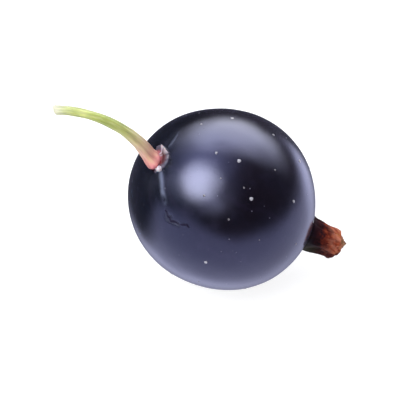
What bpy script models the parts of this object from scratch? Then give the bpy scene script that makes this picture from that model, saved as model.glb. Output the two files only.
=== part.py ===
"""A single blackcurrant as picked, lying on its side: the fruit, its green stalk, the pale torn
collar of skin round the stalk's foot, and the dried flower on the far end.

The origin is the middle of the small flat spot that the fruit rests on. The stalk leaves
towards -X, the dried flower points to +X, and +Z is up. Lengths are in metres.
"""

import math

import bmesh
import bpy
from mathutils import Matrix, Vector, noise

MM = 0.001
UP = Vector((0.0, 0.0, 1.0))


def way(turn, rise):
    """Unit vector at a turn about +Z from +X and a rise above the ground, both in degrees."""
    turn, rise = math.radians(turn), math.radians(rise)
    level = math.cos(rise)
    return Vector((level * math.cos(turn), level * math.sin(turn), math.sin(rise)))


# The fruit
WIDTH = 12.0 * MM
LENGTH = 12.6 * MM
STALK_WAY = way(191.2, 44.8)
FLOWER_WAY = way(2.0, -30.0)
FLAT_DEPTH = 0.16 * MM
PIT_RADIUS = 0.62 * MM
PIT_DEPTH = 0.22 * MM
NECK_RADIUS = 1.3 * MM
NECK_HEIGHT = 0.30 * MM
VEINS = 10
VEIN_RELIEF = 0.012 * MM
SKIN_COLUMNS = 5 * VEINS
SKIN_ROWS = 40
ROWS_TO_POLES = 0.3

# The stalk
STALK_LENGTH = 8.1 * MM
STALK_TURN_FOOT = 177.0
STALK_TURN_TIP = 167.0
STALK_RISE_FOOT = 74.0
STALK_RISE_TIP = -14.0
STALK_STRAIGHT_FOOT = 1.2 * MM
STALK_CUT_TILT = 24.0
STALK_POINTS = 22
# Share of the length from the foot, and the diameter there
STALK_WIDTHS = (
    (0.00, 0.78 * MM),
    (0.05, 0.98 * MM),
    (0.12, 0.98 * MM),
    (0.30, 0.82 * MM),
    (0.60, 0.70 * MM),
    (0.90, 0.66 * MM),
    (1.00, 0.70 * MM),
)

# The torn collar round the stalk's foot
COLLAR_RADIUS = 0.80 * MM
COLLAR_FLARE = 0.14 * MM
COLLAR_HEIGHT = 0.16 * MM
COLLAR_THICK = 0.13 * MM
COLLAR_MIDDLE = 50.0
COLLAR_HALF_SPAN = 118.0
# Turn about the stalk, half width and height of each raised lobe of the rim
COLLAR_LOBES = ((2.0, 20.0, 0.26 * MM), (92.0, 24.0, 0.34 * MM), (-48.0, 14.0, 0.10 * MM))

# The dried flower
FLOWER_LENGTH = 2.9 * MM
FLOWER_TIP_WAY = way(-3.0, -42.0)
FLOWER_NECK_RADIUS = 1.04 * MM
FLOWER_MOUTH_RADIUS = 0.82 * MM
FLOWER_WALL = 0.28 * MM
FLOWER_NECK_SHARE = 0.28
FLOWER_VALLEY_SHARE = 0.66
SKIRT_RADIUS = 1.50 * MM
SKIRT_THICK = 0.14 * MM
SEPALS = 5
# For each sepal: its length as a share of the longest, and how far its tip leans outwards
SEPAL_SHAPES = (
    (1.00, 0.02 * MM),
    (0.84, 0.26 * MM),
    (0.93, -0.20 * MM),
    (0.86, 0.16 * MM),
    (0.97, -0.12 * MM),
)
SEPAL_OFFSET = 20.0
CRUMPLE = 0.10 * MM
FLOWER_COLUMNS = 50

# Clear space between pieces that touch on the real fruit
GAP = 0.06 * MM

LONG_WAY = (STALK_WAY - FLOWER_WAY).normalized()
BEND_AXIS = (-STALK_WAY).cross(FLOWER_WAY).normalized()
BEND_ANGLE = (-STALK_WAY).angle(FLOWER_WAY)
FRONT = UP.cross(STALK_WAY).normalized()
STALK_FRAME = Matrix((FRONT, STALK_WAY.cross(FRONT), STALK_WAY)).transposed()
FLOWER_FRAME = Matrix.Rotation(BEND_ANGLE, 3, BEND_AXIS) @ STALK_FRAME


def centre_of_fruit():
    """Centre that puts the lowest point of the fruit's oval under z = 0 by the flat's depth."""
    wide, long = (WIDTH / 2) ** 2, (LENGTH / 2) ** 2
    drop = math.sqrt(wide + (long - wide) * LONG_WAY.z**2)
    lowest = -(UP * wide + LONG_WAY * ((long - wide) * LONG_WAY.z)) / drop
    return Vector((-lowest.x, -lowest.y, drop - FLAT_DEPTH))


CENTRE = centre_of_fruit()


def smooth(value):
    """Smooth step from 0 to 1."""
    value = min(max(value, 0.0), 1.0)
    return value * value * (3.0 - 2.0 * value)


def skin_relief(polar, turn):
    """Height over the plain oval: the stalk's pit, the flower's neck and the faint veins."""
    from_stalk = polar * WIDTH / 2
    from_flower = (math.pi - polar) * WIDTH / 2
    pit = PIT_DEPTH * math.exp(-((from_stalk / PIT_RADIUS) ** 4))
    neck = NECK_HEIGHT * math.exp(-((from_flower / NECK_RADIUS) ** 2))
    veins = VEIN_RELIEF * math.cos(VEINS * turn) * math.sin(polar) ** 2
    return neck - pit + veins


def skin_point(polar, turn, lift=0.0):
    """Point on the skin, at an angle from the stalk end and a turn about the fruit's bent axis."""
    level = math.sin(polar)
    ring = Vector((level * math.cos(turn), level * math.sin(turn), math.cos(polar)))
    bend = Matrix.Rotation(BEND_ANGLE * (1.0 - math.cos(polar)) / 2, 3, BEND_AXIS)
    outward = bend @ STALK_FRAME @ ring
    along = outward.dot(LONG_WAY)
    radius = 1.0 / math.sqrt((along / (LENGTH / 2)) ** 2 + (1.0 - along**2) / (WIDTH / 2) ** 2)
    return CENTRE + outward * (radius + skin_relief(polar, turn) + lift)


def new_object(name, mesh, collection):
    piece = bpy.data.objects.new(name, mesh)
    collection.objects.link(piece)
    return piece


def mesh_from(name, shape):
    """Mesh datablock from a bmesh, shaded smooth except at sharp edges."""
    bmesh.ops.recalc_face_normals(shape, faces=shape.faces)
    closed = all(edge.is_manifold for edge in shape.edges)
    if closed and shape.calc_volume(signed=True) < 0.0:
        bmesh.ops.reverse_faces(shape, faces=shape.faces)
    mesh = bpy.data.meshes.new(name)
    shape.to_mesh(mesh)
    shape.free()
    mesh.shade_smooth()
    mesh.set_sharp_from_angle(angle=math.radians(50.0))
    return mesh


def cut_flat(shape, point, outward):
    """Cuts a closed shape off at a plane and closes the cut with one face."""
    everything = shape.verts[:] + shape.edges[:] + shape.faces[:]
    cut = bmesh.ops.bisect_plane(
        shape,
        geom=everything,
        dist=0.01 * MM,
        plane_co=point,
        plane_no=outward,
        use_snap_center=True,
        clear_outer=True,
    )
    edges = [item for item in cut["geom_cut"] if isinstance(item, bmesh.types.BMEdge)]
    bmesh.ops.holes_fill(shape, edges=edges)


def finish(piece, colour, roughness):
    """Gives a piece its own plain material."""
    material = bpy.data.materials.new(piece.name)
    material.use_nodes = True
    shader = material.node_tree.nodes["Principled BSDF"]
    shader.inputs["Base Color"].default_value = (*colour, 1.0)
    shader.inputs["Roughness"].default_value = roughness
    shader.inputs["Metallic"].default_value = 0.0
    piece.data.materials.append(material)


def make_berry(collection):
    """The fruit: a ball whose rows crowd towards both ends, bent and pressed flat underneath."""
    shape = bmesh.new()
    bmesh.ops.create_uvsphere(shape, u_segments=SKIN_COLUMNS, v_segments=SKIN_ROWS, radius=1.0)
    for vert in shape.verts:
        polar = math.acos(max(-1.0, min(1.0, vert.co.z)))
        turn = math.atan2(vert.co.y, vert.co.x)
        vert.co = skin_point(polar - ROWS_TO_POLES * math.sin(2.0 * polar), turn)
    cut_flat(shape, Vector((0.0, 0.0, 0.0)), -UP)
    berry = new_object("berry", mesh_from("berry", shape), collection)
    finish(berry, (0.020, 0.016, 0.035), 0.25)
    return berry


def stalk_way(share):
    """Direction of the stalk: square to the skin at its foot, then arching over."""
    turn = STALK_TURN_FOOT + (STALK_TURN_TIP - STALK_TURN_FOOT) * share
    rise = STALK_RISE_FOOT + (STALK_RISE_TIP - STALK_RISE_FOOT) * share
    freed = smooth(share * STALK_LENGTH / STALK_STRAIGHT_FOOT)
    return STALK_WAY.lerp(way(turn, rise), freed).normalized()


def stalk_line():
    """Centre line of the stalk, from its foot in the pit to the cut."""
    shares = [i / (STALK_POINTS - 1) for i in range(STALK_POINTS)]
    points = [skin_point(0.0, 0.0, GAP)]
    for before, after in zip(shares, shares[1:]):
        step = stalk_way((before + after) / 2) * (STALK_LENGTH / (STALK_POINTS - 1))
        points.append(points[-1] + step)
    return shares, points


def width_at(share, widths):
    """Diameter read between the listed shares of the length."""
    for (low, first), (high, second) in zip(widths, widths[1:]):
        if share <= high:
            return first + (second - first) * smooth((share - low) / (high - low))
    return widths[-1][1]


def make_stalk(collection):
    """The stalk: a tube of changing width on a curve, cut off at a slant."""
    curve = bpy.data.curves.new("stalk", "CURVE")
    curve.dimensions = "3D"
    curve.bevel_depth = 1.0
    curve.bevel_resolution = 4
    curve.render_resolution_u = 0
    curve.use_fill_caps = True
    line = curve.splines.new("POLY")
    line.points.add(STALK_POINTS - 1)
    shares, points = stalk_line()
    for target, share, point in zip(line.points, shares, points):
        target.co = (*point, 1.0)
        target.radius = width_at(share, STALK_WIDTHS) / 2
    guide = new_object("stalk_guide", curve, collection)
    bpy.context.view_layer.update()
    graph = bpy.context.evaluated_depsgraph_get()
    tube = bpy.data.meshes.new_from_object(guide.evaluated_get(graph))
    bpy.data.objects.remove(guide)

    shape = bmesh.new()
    shape.from_mesh(tube)
    bpy.data.meshes.remove(tube)
    bmesh.ops.remove_doubles(shape, verts=shape.verts, dist=0.001 * MM)
    tip_way = stalk_way(1.0)
    slant = Matrix.Rotation(math.radians(STALK_CUT_TILT), 3, tip_way.cross(UP).normalized())
    cut_flat(shape, points[-1] - tip_way * STALK_WIDTHS[-1][1] / 4, slant @ tip_way)
    stalk = new_object("stalk", mesh_from("stalk", shape), collection)
    finish(stalk, (0.42, 0.50, 0.20), 0.5)
    return stalk


def make_collar(collection):
    """The torn collar: a low strip that stands on the skin round the foot, with a ragged rim."""
    shape = bmesh.new()
    bmesh.ops.create_grid(shape, x_segments=30, y_segments=3, size=1.0)
    for vert in shape.verts:
        turn = COLLAR_MIDDLE + COLLAR_HALF_SPAN * vert.co.x
        rise = (vert.co.y + 1.0) / 2
        height = COLLAR_HEIGHT * math.sqrt(max(0.0, 1.0 - abs(vert.co.x) ** 6)) + 0.05 * MM
        for middle, half_width, lobe in COLLAR_LOBES:
            height += lobe * math.exp(-(((turn - middle) / half_width) ** 2))
        radius = COLLAR_RADIUS + COLLAR_FLARE * rise**2
        vert.co = skin_point(radius / (WIDTH / 2), math.radians(turn), GAP + height * rise)
    collar = new_object("joint_collar", mesh_from("joint_collar", shape), collection)
    shell = collar.modifiers.new("Thickness", "SOLIDIFY")
    shell.thickness = COLLAR_THICK
    shell.offset = 0.0
    finish(collar, (0.55, 0.48, 0.56), 0.45)
    return collar


def sepal_at(turn):
    """How far into a sepal this turn is (0 between two, 1 at its middle), its length and lean."""
    place = (math.degrees(turn) - SEPAL_OFFSET) / (360.0 / SEPALS)
    length, lean = SEPAL_SHAPES[round(place) % SEPALS]
    return abs(math.cos(math.pi * place)) ** 0.7, length, lean


def flower_wall(share, turn, inside):
    """Point on the flower's tube: share runs from its neck at 0 to the sepal tips at 1."""
    lobe, length, lean = sepal_at(turn)
    reach = FLOWER_VALLEY_SHARE + (length - FLOWER_VALLEY_SHARE) * lobe
    height = FLOWER_LENGTH * (FLOWER_NECK_SHARE + (reach - FLOWER_NECK_SHARE) * share)
    radius = FLOWER_NECK_RADIUS + (FLOWER_MOUTH_RADIUS - FLOWER_NECK_RADIUS) * share
    radius += lean * lobe * share**2
    radius += CRUMPLE * noise.noise(Vector((2.4 * math.cos(turn), 2.4 * math.sin(turn), 2.0 * share)))
    radius -= CRUMPLE * 0.8 * (1.0 - lobe) * smooth(share * 2.0)
    if inside:
        radius -= FLOWER_WALL
    axis = FLOWER_WAY.lerp(FLOWER_TIP_WAY, smooth(height / FLOWER_LENGTH) / 2).normalized()
    nod = FLOWER_WAY.rotation_difference(axis)
    ring = Vector((math.cos(turn), math.sin(turn), 0.0)) * radius
    return skin_point(math.pi, 0.0) + axis * height + nod @ (FLOWER_FRAME @ ring)


def flower_rows():
    """From the underside out to the skirt's edge, up the outside, and down the inside."""
    skirt = [
        (0.30 * SKIRT_RADIUS, GAP),
        (0.60 * SKIRT_RADIUS, GAP),
        (0.85 * SKIRT_RADIUS, GAP),
        (1.00 * SKIRT_RADIUS, GAP),
        (1.00 * SKIRT_RADIUS, GAP + 0.7 * SKIRT_THICK),
        (0.90 * SKIRT_RADIUS, GAP + 1.4 * SKIRT_THICK),
        (0.76 * SKIRT_RADIUS, GAP + 2.6 * SKIRT_THICK),
    ]
    rows = [("skin", radius, lift) for radius, lift in skirt]
    rows += [("wall", share, False) for share in (0.0, 0.2, 0.4, 0.6, 0.8, 0.93, 1.0)]
    rows += [("wall", share, True) for share in (0.97, 0.8, 0.55, 0.35)]
    return rows


def make_flower(collection):
    """The dried flower: a ball reshaped row by row into a skirted cup with five ragged sepals."""
    rows = flower_rows()
    shape = bmesh.new()
    bmesh.ops.create_uvsphere(shape, u_segments=FLOWER_COLUMNS, v_segments=len(rows) + 1, radius=1.0)
    step = math.pi / (len(rows) + 1)
    for vert in shape.verts:
        row = round(math.acos(max(-1.0, min(1.0, vert.co.z))) / step) - 1
        turn = math.atan2(vert.co.y, vert.co.x)
        if row < 0:
            vert.co = skin_point(math.pi, 0.0, GAP)
        elif row >= len(rows):
            floor = [flower_wall(0.5, math.tau * i / 4, True) for i in range(4)]
            vert.co = sum(floor, Vector()) / len(floor)
        elif rows[row][0] == "skin":
            _, radius, lift = rows[row]
            ragged = 1.0 + 0.07 * math.sin(7.0 * turn) * (radius / SKIRT_RADIUS) ** 8
            vert.co = skin_point(math.pi - ragged * radius / (LENGTH / 2), turn, lift)
        else:
            _, share, inside = rows[row]
            vert.co = flower_wall(share, turn, inside)
    flower = new_object("dried_flower", mesh_from("dried_flower", shape), collection)
    finish(flower, (0.16, 0.055, 0.030), 0.8)
    return flower


def main():
    for old in list(bpy.data.objects):
        bpy.data.objects.remove(old)
    collection = bpy.data.collections.new("blackcurrant")
    bpy.context.scene.collection.children.link(collection)
    make_berry(collection)
    make_stalk(collection)
    make_collar(collection)
    make_flower(collection)


main()
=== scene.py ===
# %% [markdown]
# A blackcurrant, as picked. The real thing is one ripe berry about 12 mm across, lying on its side on a
# white table. It has four pieces: the fruit itself, a curved green stalk, the pale torn collar of skin
# where the stalk joins, and the brown dried flower on the far end.
# The sizes come from a measured model of the same berry, which is loaded first and never moved. This
# lesson then lays finer surfaces exactly where that model's plain ones are.

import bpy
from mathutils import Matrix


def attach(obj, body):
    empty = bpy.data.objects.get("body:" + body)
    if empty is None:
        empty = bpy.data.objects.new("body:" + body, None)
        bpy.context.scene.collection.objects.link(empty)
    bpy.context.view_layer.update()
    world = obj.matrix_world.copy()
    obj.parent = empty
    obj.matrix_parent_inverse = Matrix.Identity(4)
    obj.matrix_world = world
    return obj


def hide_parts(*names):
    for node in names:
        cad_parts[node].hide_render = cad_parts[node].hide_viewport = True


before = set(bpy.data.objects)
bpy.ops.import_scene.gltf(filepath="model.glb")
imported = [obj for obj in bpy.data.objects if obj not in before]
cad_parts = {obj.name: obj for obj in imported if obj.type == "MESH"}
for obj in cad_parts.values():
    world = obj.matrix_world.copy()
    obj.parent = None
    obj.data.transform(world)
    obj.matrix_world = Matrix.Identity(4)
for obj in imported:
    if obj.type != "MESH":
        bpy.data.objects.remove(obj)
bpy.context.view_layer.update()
print("measured nodes:", sorted(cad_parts))

# %% [markdown]
# A berry is best described by directions and angles, because everything on it sits on a ball. A direction
# is a turn about the vertical, from +X, and a rise above the table. The stalk end points up and to the
# left, the flower end points down and to the right, and the two are not quite opposite: the fruit is
# slightly bent. Points are kept in numpy arrays, so that one line places a whole surface.

# %% The fruit's driving sizes and its two ends
import math

import bmesh
import bpy
import numpy as np
from mathutils import Vector, noise

MM = 0.001
UP = np.array([0.0, 0.0, 1.0])


def triple(first, second, third):
    """Vectors from three numbers or grids of them."""
    return np.stack(np.broadcast_arrays(first, second, third), axis=-1)


def way(turn, rise):
    """Unit vector at a turn from +X and a rise above the table, in degrees, singly or as arrays."""
    turn, rise = np.radians(turn), np.radians(rise)
    return triple(np.cos(rise) * np.cos(turn), np.cos(rise) * np.sin(turn), np.sin(rise))


def unit(vector):
    """Vectors scaled to length 1."""
    return vector / np.linalg.norm(vector, axis=-1, keepdims=True)


WIDTH = 12.0 * MM
LENGTH = 12.6 * MM
STALK_WAY = way(191.2, 44.8)
FLOWER_WAY = way(2.0, -30.0)
FLAT_DEPTH = 0.16 * MM
LONG_WAY = unit(STALK_WAY - FLOWER_WAY)
BEND_AXIS = unit(np.cross(-STALK_WAY, FLOWER_WAY))
BEND_ANGLE = math.acos(-STALK_WAY @ FLOWER_WAY)
FRONT = unit(np.cross(UP, STALK_WAY))
STALK_FRAME = np.stack([FRONT, np.cross(STALK_WAY, FRONT), STALK_WAY])
print(f"the two ends are {180 - math.degrees(BEND_ANGLE):.1f} degrees apart")

# %% [markdown]
# The fruit is a slightly long oval. It touches the table not right under its middle but a little towards
# the flower end, because its long axis slopes. The origin of the model is that touching point, so the
# centre of the fruit has to be worked out from it.

# %% Where the fruit's centre is
half_wide, half_long = (WIDTH / 2) ** 2, (LENGTH / 2) ** 2
drop = math.sqrt(half_wide + (half_long - half_wide) * LONG_WAY[2] ** 2)
lowest = -(UP * half_wide + LONG_WAY * ((half_long - half_wide) * LONG_WAY[2])) / drop
CENTRE = np.array([-lowest[0], -lowest[1], drop - FLAT_DEPTH])
print("centre of the fruit, mm:", (CENTRE / MM).round(2))

# %% [markdown]
# Every surface here needs a few small tools: soft steps and humps, a grid that goes all the way round,
# circles along a line, a line found by adding up short steps, a turn about an axis in which each point may
# turn by its own angle, and a smooth random height. The last one uses Blender's own noise, which gives the
# same numbers on every run.

# %% Small tools for shapes


def smooth(value, low=0.0, high=1.0):
    """0 below low, 1 above high, and a soft step between them."""
    share = np.clip((value - low) / (high - low), 0.0, 1.0)
    return share * share * (3.0 - 2.0 * share)


def hump(value, middle, half_width):
    """A soft hump, 1 at its middle."""
    return np.exp(-(((value - middle) / half_width) ** 2))


def span(value, start, full, fading, end):
    """1 from full to fading, 0 outside start and end, with soft edges."""
    return smooth(value, start, full) * (1.0 - smooth(value, fading, end))


def rows_by_turns(rows, columns):
    """Two grids for a shape that closes on itself: its row values, and turns all the way round."""
    return np.meshgrid(rows, np.arange(columns) * math.tau / columns, indexing="ij")


def ring_way(turn, side, other):
    """Directions round a circle, from two sides square to each other."""
    return np.cos(turn)[..., None] * side + np.sin(turn)[..., None] * other


def circles(heading, turn):
    """Directions square to a line, from its heading at each row and the turns round it."""
    side = unit(np.cross(heading, UP))
    return ring_way(turn, side[:, None], np.cross(side, heading)[:, None])


def add_up(steps):
    """The points of a line that starts at zero, from the short steps between them."""
    return np.concatenate([np.zeros((1, *steps.shape[1:])), np.cumsum(steps, axis=0)])


def rotate(points, axis, angle):
    """Points turned about an axis through the origin, each by its own angle."""
    angle = np.asarray(angle)[..., None]
    along = (points @ axis)[..., None] * axis
    return points * np.cos(angle) + np.cross(axis, points) * np.sin(angle) + along * (1.0 - np.cos(angle))


def rough(points, size, seed=0.0):
    """Smooth random heights from about -1 to 1, whose bumps are about the given size across."""
    places = (points / size + seed).reshape(-1, 3)
    return np.array([noise.noise(Vector(p)) for p in places]).reshape(points.shape[:-1])


print("half way up a smooth step:", smooth(0.5))

# %% [markdown]
# A place on the skin is given by two angles: the polar angle away from the stalk end, and the turn about
# the fruit's axis. Lines of equal turn run from stalk to flower as the veins of the real fruit do, and
# bending them a little at a time brings them together at the true flower end. The stalk stands in a
# small pit, and the flower sits on a low neck.

# %% A point on the skin
PIT_RADIUS = 0.62 * MM
PIT_DEPTH = 0.22 * MM
NECK_RADIUS = 1.3 * MM
NECK_HEIGHT = 0.30 * MM


def skin_way(polar, turn):
    """Direction from the fruit's centre to the skin at these angles."""
    ring = triple(np.sin(polar) * np.cos(turn), np.sin(polar) * np.sin(turn), np.cos(polar))
    return rotate(ring @ STALK_FRAME, BEND_AXIS, BEND_ANGLE * (1.0 - np.cos(polar)) / 2)


def skin(polar, turn, lift=0.0):
    """Points on the skin, or lifted off it, at these angles."""
    polar, turn, lift = np.broadcast_arrays(polar, turn, lift)
    outward = skin_way(polar, turn)
    along = outward @ LONG_WAY
    radius = 1.0 / np.sqrt((along / (LENGTH / 2)) ** 2 + (1.0 - along**2) / (WIDTH / 2) ** 2)
    pit = PIT_DEPTH * np.exp(-((polar * WIDTH / 2 / PIT_RADIUS) ** 4))
    neck = NECK_HEIGHT * hump((np.pi - polar) * WIDTH / 2, 0.0, NECK_RADIUS)
    return CENTRE + outward * (radius - pit + neck + lift)[..., None]


for end, polar in (("stalk", 0.0), ("flower", np.pi)):
    print(f"the {end} meets the skin at, mm:", (skin(polar, 0.0) / MM).round(2))

# %% [markdown]
# Most pieces here are sheets: a grid of points with rows and columns. One builder turns any such grid
# into a smooth mesh. It can join the last column to the first, and close either end with a fan to one
# point. Each point also keeps three numbers called its place, so that a finish can later follow the
# shape: along the stalk, around it, or how deep a fold is.

# %% Build a mesh from rows of points


def new_piece(name, mesh):
    """A smooth object made of a mesh, put in the scene."""
    mesh.shade_smooth()
    piece = bpy.data.objects.new(name, mesh)
    bpy.context.scene.collection.objects.link(piece)
    return piece


def sheet(name, grid, place, around=True, tips=(None, None)):
    """A smooth mesh over rows x columns x 3 points, carrying the three numbers of each point's place."""
    rows, columns = grid.shape[:2]
    index = np.arange(rows * columns).reshape(rows, columns)
    wide = np.concatenate([index, index[:, :1]], axis=1) if around else index
    corners = (wide[:-1, :-1], wide[:-1, 1:], wide[1:, 1:], wide[1:, :-1])
    faces = np.stack(corners, axis=-1).reshape(-1, 4).tolist()
    points, places = list(grid.reshape(-1, 3)), list(place.reshape(-1, 3))
    for tip, row, order in ((tips[0], 0, -1), (tips[1], -1, 1)):
        if tip is not None:
            rim = wide[row].tolist()
            faces += [[len(points), a, b][::order] for a, b in zip(rim[:-1], rim[1:])]
            points.append(tip)
            places.append(place[row].mean(axis=0))
    mesh = bpy.data.meshes.new(name)
    mesh.from_pydata(points, [], faces)
    mesh.attributes.new("place", "FLOAT_VECTOR", "POINT").data.foreach_set("vector", np.ravel(places))
    return new_piece(name, mesh)


def thicken(piece, thickness, offset=0.0):
    """Gives a sheet its thickness."""
    shell = piece.modifiers.new("Thickness", "SOLIDIFY")
    shell.thickness = thickness
    shell.offset = offset
    return piece


def join(name, parts):
    """Several sheets made one object, which keeps their places."""
    shape = bmesh.new()
    for part in parts:
        shape.from_mesh(part.data)
    mesh = bpy.data.meshes.new(name)
    shape.to_mesh(mesh)
    shape.free()
    for part in parts:
        bpy.data.objects.remove(part)
    return new_piece(name, mesh)


print("sheets are made of rows x columns of points")

# %% [markdown]
# Finishes are node trees, and most of a finish is arithmetic. Wrapping a node's socket in a small class
# lets that arithmetic be written as ordinary sums: each operator adds one Math node. Every other node
# comes from one method, which takes the node's type, its settings and the values or links of its inputs.

# %% Write shader sums as Python


class Shade:
    """A socket of a finish. Sums on it add Math nodes to the finish."""

    def __init__(self, tree, socket=None):
        self.tree = tree
        self.socket = socket

    def node(self, kind, settings=None, inputs=None, output=0):
        """Adds a node: its settings first, then the values or links of its sockets."""
        made = self.tree.nodes.new("ShaderNode" + kind)
        for name, value in (settings or {}).items():
            if name == "stops":
                ramp = made.color_ramp.elements
                for spare in range(len(value) - len(ramp)):
                    ramp.new(1.0)
                for stop, (position, colour) in zip(ramp, value):
                    stop.position = position
                    stop.color = (*colour, 1.0)
            else:
                setattr(made, name, value)
        for name, value in (inputs or {}).items():
            if isinstance(value, Shade):
                self.tree.links.new(value.socket, made.inputs[name])
            else:
                made.inputs[name].default_value = value
        return Shade(self.tree, made.outputs[output] if made.outputs else None)

    def math(self, operation, first, second=0.0):
        """One Math node."""
        return self.node("Math", {"operation": operation}, {0: first, 1: second})

    def __add__(self, other):
        return self.math("ADD", self, other)

    __radd__ = __add__

    def __sub__(self, other):
        return self.math("SUBTRACT", self, other)

    def __rsub__(self, other):
        return self.math("SUBTRACT", other, self)

    def __mul__(self, other):
        return self.math("MULTIPLY", self, other)

    __rmul__ = __mul__

    def sine(self):
        return self.math("SINE", self)

    def between(self, low, high):
        """0 below low, 1 above high, with a soft step."""
        settings = {"interpolation_type": "SMOOTHSTEP"}
        return self.node("MapRange", settings, {"Value": self, "From Min": low, "From Max": high})

    def split(self):
        """The three numbers of a vector."""
        parts = self.node("SeparateXYZ", inputs={0: self}).socket.node.outputs
        return [Shade(self.tree, part) for part in parts]

    def blend(self, first, second):
        """A colour between two, by this share."""
        ends = [colour if isinstance(colour, Shade) else (*colour, 1.0) for colour in (first, second)]
        return self.node("Mix", {"data_type": "RGBA"}, {0: self, 6: ends[0], 7: ends[1]}, output=2)


print("operators ready:", [name for name in vars(Shade) if name.endswith(("add__", "sub__", "mul__"))])

# %% [markdown]
# A finish starts with a new material whose Principled shader gets its plain values, the ones that are the
# same all over. What changes over the surface is worked out as a Shade and plugged in afterwards. Noise
# is given by the size of its bumps in metres, because that is how a maker thinks of grain.

# %% Start a finish


class Finish:
    """A material with its Principled shader, and the helpers its colours are built with."""

    def __init__(self, name, **plain):
        self.material = bpy.data.materials.new(name)
        self.material.use_nodes = True
        tree = self.material.node_tree
        self.shader = tree.nodes["Principled BSDF"]
        self.shade = Shade(tree)
        for socket, value in plain.items():
            self.shader.inputs[socket.replace("_", " ")].default_value = value
        self.spot = self.shade.node("TexCoord", output="Object")

    def place(self):
        """The three numbers that the mesh keeps at each point."""
        return self.shade.node("Attribute", {"attribute_name": "place"}, output="Vector").split()

    def round_vector(self, turn, reach, height):
        """A vector for grain that runs along a round piece: round a circle, and slowly up it."""
        parts = ((turn + math.pi / 2).sine() * reach, turn.sine() * reach, height)
        return self.shade.node("CombineXYZ", inputs=dict(enumerate(parts)))

    def grain(self, size, detail=2.0, seed=0.0, spot=None):
        """Random numbers about 0.5 whose bumps have the given size, in space or over another vector."""
        inputs = {"Vector": spot or self.spot, "W": seed, "Scale": 1.0 / size, "Detail": detail}
        return self.shade.node("TexNoise", {"noise_dimensions": "4D"}, inputs)

    def dots(self, gap, radius):
        """1 on small round dots about a gap apart, 0 between them. The radius is a share of the gap."""
        inputs = {"Vector": self.spot, "Scale": 1.0 / gap}
        off = self.shade.node("TexVoronoi", {"feature": "F1"}, inputs, output="Distance")
        return 1.0 - off.between(0.6 * radius, radius)

    def ramp(self, stops, share):
        """The colour at a share of the way along a row of colours."""
        return self.shade.node("ValToRGB", {"stops": stops}, {"Fac": share})

    def feed(self, **sockets):
        """Plugs what varies into the shader."""
        for name, value in sockets.items():
            self.shade.tree.links.new(value.socket, self.shader.inputs[name.replace("_", " ")])
        return self.material

    def bump(self, height, depth, strength=1.0):
        """A surface normal tilted by a height from 0 to 1 that stands for a real depth."""
        return self.shade.node("Bump", inputs={"Height": height, "Distance": depth, "Strength": strength})


def coats(colour, *layers):
    """A colour with others laid over it, each by its own share."""
    for share, over in layers:
        colour = share.blend(colour, over)
    return colour


def dress(piece, finish, node):
    """Gives a piece its finish, hangs it on the root, hides the measured node it stands for, and prints its
    size.
    """
    piece.data.materials.clear()
    piece.data.materials.append(finish)
    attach(piece, "root")
    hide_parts(node)
    corners = np.array(piece.bound_box) / MM
    low, high = corners.min(axis=0).round(2), corners.max(axis=0).round(2)
    print(f"{piece.name}: {len(piece.data.polygons)} faces, mm {low} to {high}")


print("finishes are built on the Principled shader")

# %% [markdown]
# The skin. A ripe blackcurrant looks smooth, but it is not a perfect ball: it has soft unevenness a few
# millimetres across, shallow furrows over its veins, little puckers where the stalk pulls at the skin,
# and one clear seam that leaves the stalk as a raised line and goes on as a fine broken furrow. A modelled
# relief was chosen over a bump map for all of these, because they bend the reflections and the outline.
# The seam and a fainter stretch mark come first. Each follows a path of its own down the skin, and the
# furrow strays from its path as a tear does.

# %% The seam, its furrow and the stretch mark
# Polar angle and turn of points along each path, in degrees
SEAM_PATH = (
    (8.0, 14.0), (13.3, 3.0), (21.7, -7.5), (32.0, -11.0),
    (36.0, -15.5), (41.0, -13.0), (50.0, -1.0), (58.0, 4.0),
)
MARK_PATH = ((8.0, 88.0), (11.3, 97.5), (21.0, 116.0), (26.0, 120.0))
# Polar angles between which each shows: where it starts, is full, fades and ends
SEAM_SPAN = (8.0, 12.0, 24.0, 33.0)
FURROW_SPAN = (32.0, 37.0, 43.0, 53.0)
MARK_SPAN = (8.0, 12.0, 15.0, 26.0)
SEAM_HALF_WIDTH = 0.15 * MM
FURROW_HALF_WIDTH = 0.18 * MM
MARK_HALF_WIDTH = 0.12 * MM
# Size of the furrow's bends, how far they stray, and a seed
FURROW_BENDS = ((0.55 * MM, 0.15 * MM, 6.0), (0.24 * MM, 0.13 * MM, 2.0))
FURROW_BREAKS = 0.42 * MM


def line_turn(polar, path):
    """The turn of a line drawn down the skin, at each polar angle."""
    return np.radians(np.interp(np.degrees(polar), *zip(*path)))


def off_line(polar, turn, path):
    """Distance over the skin from such a line."""
    return (turn - line_turn(polar, path)) * np.sin(polar) * WIDTH / 2


def furrow_wander(points):
    """How far the furrow strays from its line."""
    return sum(stray * rough(points, size, seed) for size, stray, seed in FURROW_BENDS)


def seam_and_mark(polar, turn, points):
    """How strongly the seam, its broken furrow and the fainter mark show at each point, from 0 to 1."""
    degrees = np.degrees(polar)
    off_seam = off_line(polar, turn, SEAM_PATH)
    ridge = hump(off_seam, 0.0, SEAM_HALF_WIDTH) * span(degrees, *SEAM_SPAN)
    furrow = hump(off_seam + furrow_wander(points), 0.0, FURROW_HALF_WIDTH) * span(degrees, *FURROW_SPAN)
    furrow = furrow * smooth(rough(points, FURROW_BREAKS, 2.0), -0.45, 0.05)
    mark = hump(off_line(polar, turn, MARK_PATH), 0.0, MARK_HALF_WIDTH) * span(degrees, *MARK_SPAN)
    return ridge, furrow, mark


print("the seam fades, mm from the stalk:", round(math.radians(SEAM_SPAN[2]) * WIDTH / 2 / MM, 1))

# %% [markdown]
# All small heights of the skin are added up in one function. Besides the seam it holds three broad
# hollows, which set the fruit's outline off a true oval by about a tenth of a millimetre, as in the
# photograph, and which are given by their directions from the fruit's centre.

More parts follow.
